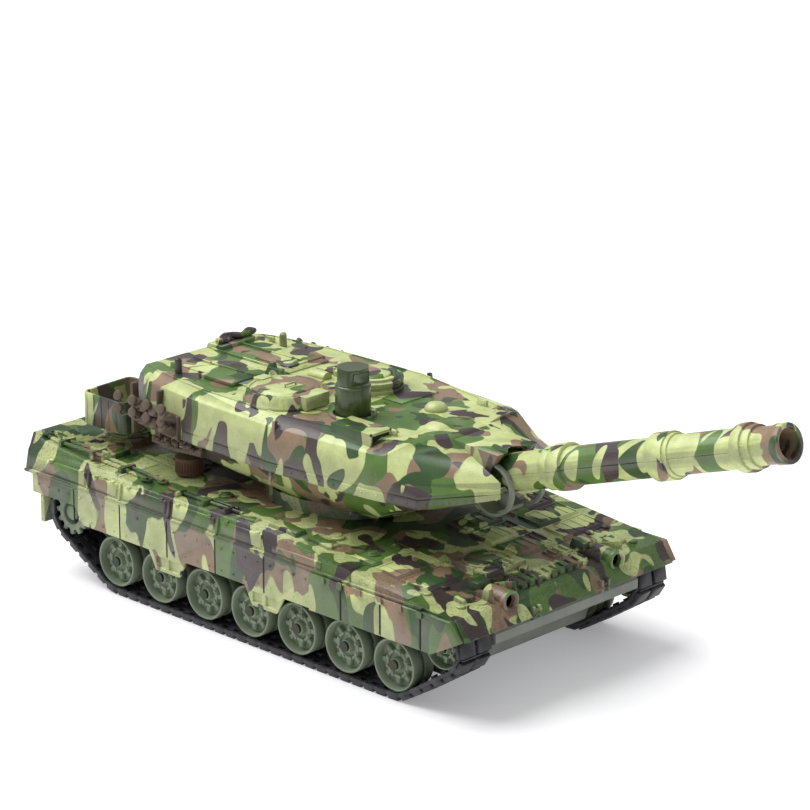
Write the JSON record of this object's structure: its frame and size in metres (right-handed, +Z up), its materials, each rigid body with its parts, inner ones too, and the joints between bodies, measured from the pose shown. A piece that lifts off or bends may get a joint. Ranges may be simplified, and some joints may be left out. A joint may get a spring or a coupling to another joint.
{
  "type": "radio controlled tank",
  "caption": "Radio controlled model battle tank with a turning turret, an elevating gun and tracked running gear.",
  "frame": {"origin": "on the ground under the centre of the model's bounding box, gun forward", "axes": "+X along the gun, +Y to the tank's left, +Z up"},
  "size_m": [0.3608, 0.1272, 0.1315],
  "materials": {
    "camouflage_shell": "satin printed plastic",
    "running_gear": "moulded grey-green plastic",
    "hull_plastic": "moulded grey-green plastic",
    "track_rubber": "matte flexible track",
    "steel": "plain steel",
    "nylon": "white nylon",
    "brass": "turned brass",
    "motor_can": "plated can",
    "battery_wrap": "shrink sleeve",
    "circuit": "solder resist",
    "black_plastic": "moulded black plastic",
    "lamp_clear": "clear moulded lamp",
    "olive_plastic": "semi-gloss olive plastic",
    "brown_plastic": "moulded brown plastic",
    "cradle_grey": "moulded grey plastic"
  },
  "bodies": {
    "hull": {"hull_tub": "hull_plastic", "hull_deck": "camouflage_shell", "skirt_right": "camouflage_shell", "skirt_left": "camouflage_shell", "track_right": "track_rubber", "track_left": "track_rubber", "wheel_pins": "steel", "idler_pins": "steel", "gearbox_frames": "nylon", "gear_pins": "steel", "drive_motors": "motor_can", "battery_pack": "battery_wrap", "battery_door": "hull_plastic", "circuit_board": "circuit", "speaker": "black_plastic", "headlights": "lamp_clear", "turret_motor": "motor_can", "knob_switch": "black_plastic", "hull_screws": "steel"},
    "turret": {"turret_shell": "camouflage_shell", "turret_base": "camouflage_shell", "turret_ring_gear": "nylon", "mantlet_cover": "camouflage_shell", "stowage_baskets": "camouflage_shell", "smoke_launchers": "camouflage_shell", "antenna_stubs": "camouflage_shell", "commander_hatch": "camouflage_shell", "loader_hatch": "camouflage_shell", "trunnion_pins": "steel"},
    "gun": {"gun_cradle": "cradle_grey", "barrel_upper": "camouflage_shell", "barrel_lower": "camouflage_shell", "muzzle_cap": "camouflage_shell"},
    "sight": {"commander_sight": "olive_plastic"},
    "knob": {"deck_knob": "brown_plastic"},
    "turret_drive": {"turret_pinion": "brass"},
    "drive_right": {"sprocket_right": "running_gear", "drive_shaft_right": "nylon"},
    "idler_right": {"idler_right": "running_gear"},
    "reduction_right": {"reduction_gear_right": "nylon"},
    "motor_pinion_right": {"motor_pinion_right": "brass"},
    "wheel_r1": {"road_wheel_r1": "running_gear"},
    "wheel_r2": {"road_wheel_r2": "running_gear"},
    "wheel_r3": {"road_wheel_r3": "running_gear"},
    "wheel_r4": {"road_wheel_r4": "running_gear"},
    "wheel_r5": {"road_wheel_r5": "running_gear"},
    "wheel_r6": {"road_wheel_r6": "running_gear"},
    "wheel_r7": {"road_wheel_r7": "running_gear"},
    "drive_left": {"sprocket_left": "running_gear", "drive_shaft_left": "nylon"},
    "idler_left": {"idler_left": "running_gear"},
    "reduction_left": {"reduction_gear_left": "nylon"},
    "motor_pinion_left": {"motor_pinion_left": "brass"},
    "wheel_l1": {"road_wheel_l1": "running_gear"},
    "wheel_l2": {"road_wheel_l2": "running_gear"},
    "wheel_l3": {"road_wheel_l3": "running_gear"},
    "wheel_l4": {"road_wheel_l4": "running_gear"},
    "wheel_l5": {"road_wheel_l5": "running_gear"},
    "wheel_l6": {"road_wheel_l6": "running_gear"},
    "wheel_l7": {"road_wheel_l7": "running_gear"}
  },
  "joints": [
    {"name": "turret_turn", "type": "hinge", "parent": "hull", "child": "turret", "pos_m": [-0.04536, 0, 0.058], "axis": [0, 0, 1], "range_deg": [-160, 160]},
    {"name": "gun_elevate", "type": "hinge", "parent": "turret", "child": "gun", "pos_m": [0.04064, 0, 0.075], "axis": [0, -1, 0], "range_deg": [-20, 7]},
    {"name": "sight_turn", "type": "hinge", "parent": "turret", "child": "sight", "pos_m": [-0.02566, -0.0193, 0.0924], "axis": [0, 0, 1], "continuous": true},
    {"name": "knob_turn", "type": "hinge", "parent": "hull", "child": "knob", "pos_m": [-0.10596, -0.0349, 0.052], "axis": [0, 0, 1], "range_deg": [-270, 0]},
    {"name": "turret_pinion_turn", "type": "hinge", "parent": "hull", "child": "turret_drive", "pos_m": [-0.08056, 0, 0.045], "axis": [0, 0, 1], "range_deg": [-970, 970]},
    {"name": "drive_right_turn", "type": "hinge", "parent": "hull", "child": "drive_right", "pos_m": [-0.15496, -0.05, 0.0287], "axis": [0, 1, 0], "continuous": true},
    {"name": "idler_right_turn", "type": "hinge", "parent": "hull", "child": "idler_right", "pos_m": [0.06114, -0.05, 0.0285], "axis": [0, 1, 0], "continuous": true},
    {"name": "reduction_right_turn", "type": "hinge", "parent": "hull", "child": "reduction_right", "pos_m": [-0.139, -0.031, 0.02589], "axis": [0, 1, 0], "continuous": true},
    {"name": "motor_right_turn", "type": "hinge", "parent": "hull", "child": "motor_pinion_right", "pos_m": [-0.124, -0.031, 0.02589], "axis": [0, 1, 0], "continuous": true},
    {"name": "wheel_r1_turn", "type": "hinge", "parent": "hull", "child": "wheel_r1", "pos_m": [0.03564, -0.05, 0.0144], "axis": [0, 1, 0], "continuous": true},
    {"name": "wheel_r2_turn", "type": "hinge", "parent": "hull", "child": "wheel_r2", "pos_m": [0.00864, -0.05, 0.0144], "axis": [0, 1, 0], "continuous": true},
    {"name": "wheel_r3_turn", "type": "hinge", "parent": "hull", "child": "wheel_r3", "pos_m": [-0.01836, -0.05, 0.0144], "axis": [0, 1, 0], "continuous": true},
    {"name": "wheel_r4_turn", "type": "hinge", "parent": "hull", "child": "wheel_r4", "pos_m": [-0.04536, -0.05, 0.0144], "axis": [0, 1, 0], "continuous": true},
    {"name": "wheel_r5_turn", "type": "hinge", "parent": "hull", "child": "wheel_r5", "pos_m": [-0.07236, -0.05, 0.0144], "axis": [0, 1, 0], "continuous": true},
    {"name": "wheel_r6_turn", "type": "hinge", "parent": "hull", "child": "wheel_r6", "pos_m": [-0.09936, -0.05, 0.0144], "axis": [0, 1, 0], "continuous": true},
    {"name": "wheel_r7_turn", "type": "hinge", "parent": "hull", "child": "wheel_r7", "pos_m": [-0.12636, -0.05, 0.0144], "axis": [0, 1, 0], "continuous": true},
    {"name": "drive_left_turn", "type": "hinge", "parent": "hull", "child": "drive_left", "pos_m": [-0.15496, 0.05, 0.0287], "axis": [0, 1, 0], "continuous": true},
    {"name": "idler_left_turn", "type": "hinge", "parent": "hull", "child": "idler_left", "pos_m": [0.06114, 0.05, 0.0285], "axis": [0, 1, 0], "continuous": true},
    {"name": "reduction_left_turn", "type": "hinge", "parent": "hull", "child": "reduction_left", "pos_m": [-0.139, 0.031, 0.02589], "axis": [0, 1, 0], "continuous": true},
    {"name": "motor_left_turn", "type": "hinge", "parent": "hull", "child": "motor_pinion_left", "pos_m": [-0.124, 0.031, 0.02589], "axis": [0, 1, 0], "continuous": true},
    {"name": "wheel_l1_turn", "type": "hinge", "parent": "hull", "child": "wheel_l1", "pos_m": [0.03564, 0.05, 0.0144], "axis": [0, 1, 0], "continuous": true},
    {"name": "wheel_l2_turn", "type": "hinge", "parent": "hull", "child": "wheel_l2", "pos_m": [0.00864, 0.05, 0.0144], "axis": [0, 1, 0], "continuous": true},
    {"name": "wheel_l3_turn", "type": "hinge", "parent": "hull", "child": "wheel_l3", "pos_m": [-0.01836, 0.05, 0.0144], "axis": [0, 1, 0], "continuous": true},
    {"name": "wheel_l4_turn", "type": "hinge", "parent": "hull", "child": "wheel_l4", "pos_m": [-0.04536, 0.05, 0.0144], "axis": [0, 1, 0], "continuous": true},
    {"name": "wheel_l5_turn", "type": "hinge", "parent": "hull", "child": "wheel_l5", "pos_m": [-0.07236, 0.05, 0.0144], "axis": [0, 1, 0], "continuous": true},
    {"name": "wheel_l6_turn", "type": "hinge", "parent": "hull", "child": "wheel_l6", "pos_m": [-0.09936, 0.05, 0.0144], "axis": [0, 1, 0], "continuous": true},
    {"name": "wheel_l7_turn", "type": "hinge", "parent": "hull", "child": "wheel_l7", "pos_m": [-0.12636, 0.05, 0.0144], "axis": [0, 1, 0], "continuous": true}
  ],
  "couplings": [
    {"joint": "turret_pinion_turn", "follows": "turret_turn", "ratio": -6},
    {"joint": "idler_right_turn", "follows": "drive_right_turn", "ratio": 1.1047},
    {"joint": "reduction_right_turn", "follows": "drive_right_turn", "ratio": -3},
    {"joint": "motor_right_turn", "follows": "drive_right_turn", "ratio": 9.3333},
    {"joint": "wheel_r1_turn", "follows": "drive_right_turn", "ratio": 0.87156},
    {"joint": "wheel_r2_turn", "follows": "drive_right_turn", "ratio": 0.87156},
    {"joint": "wheel_r3_turn", "follows": "drive_right_turn", "ratio": 0.87156},
    {"joint": "wheel_r4_turn", "follows": "drive_right_turn", "ratio": 0.87156},
    {"joint": "wheel_r5_turn", "follows": "drive_right_turn", "ratio": 0.87156},
    {"joint": "wheel_r6_turn", "follows": "drive_right_turn", "ratio": 0.87156},
    {"joint": "wheel_r7_turn", "follows": "drive_right_turn", "ratio": 0.87156},
    {"joint": "idler_left_turn", "follows": "drive_left_turn", "ratio": 1.1047},
    {"joint": "reduction_left_turn", "follows": "drive_left_turn", "ratio": -3},
    {"joint": "motor_left_turn", "follows": "drive_left_turn", "ratio": 9.3333},
    {"joint": "wheel_l1_turn", "follows": "drive_left_turn", "ratio": 0.87156},
    {"joint": "wheel_l2_turn", "follows": "drive_left_turn", "ratio": 0.87156},
    {"joint": "wheel_l3_turn", "follows": "drive_left_turn", "ratio": 0.87156},
    {"joint": "wheel_l4_turn", "follows": "drive_left_turn", "ratio": 0.87156},
    {"joint": "wheel_l5_turn", "follows": "drive_left_turn", "ratio": 0.87156},
    {"joint": "wheel_l6_turn", "follows": "drive_left_turn", "ratio": 0.87156},
    {"joint": "wheel_l7_turn", "follows": "drive_left_turn", "ratio": 0.87156}
  ]
}
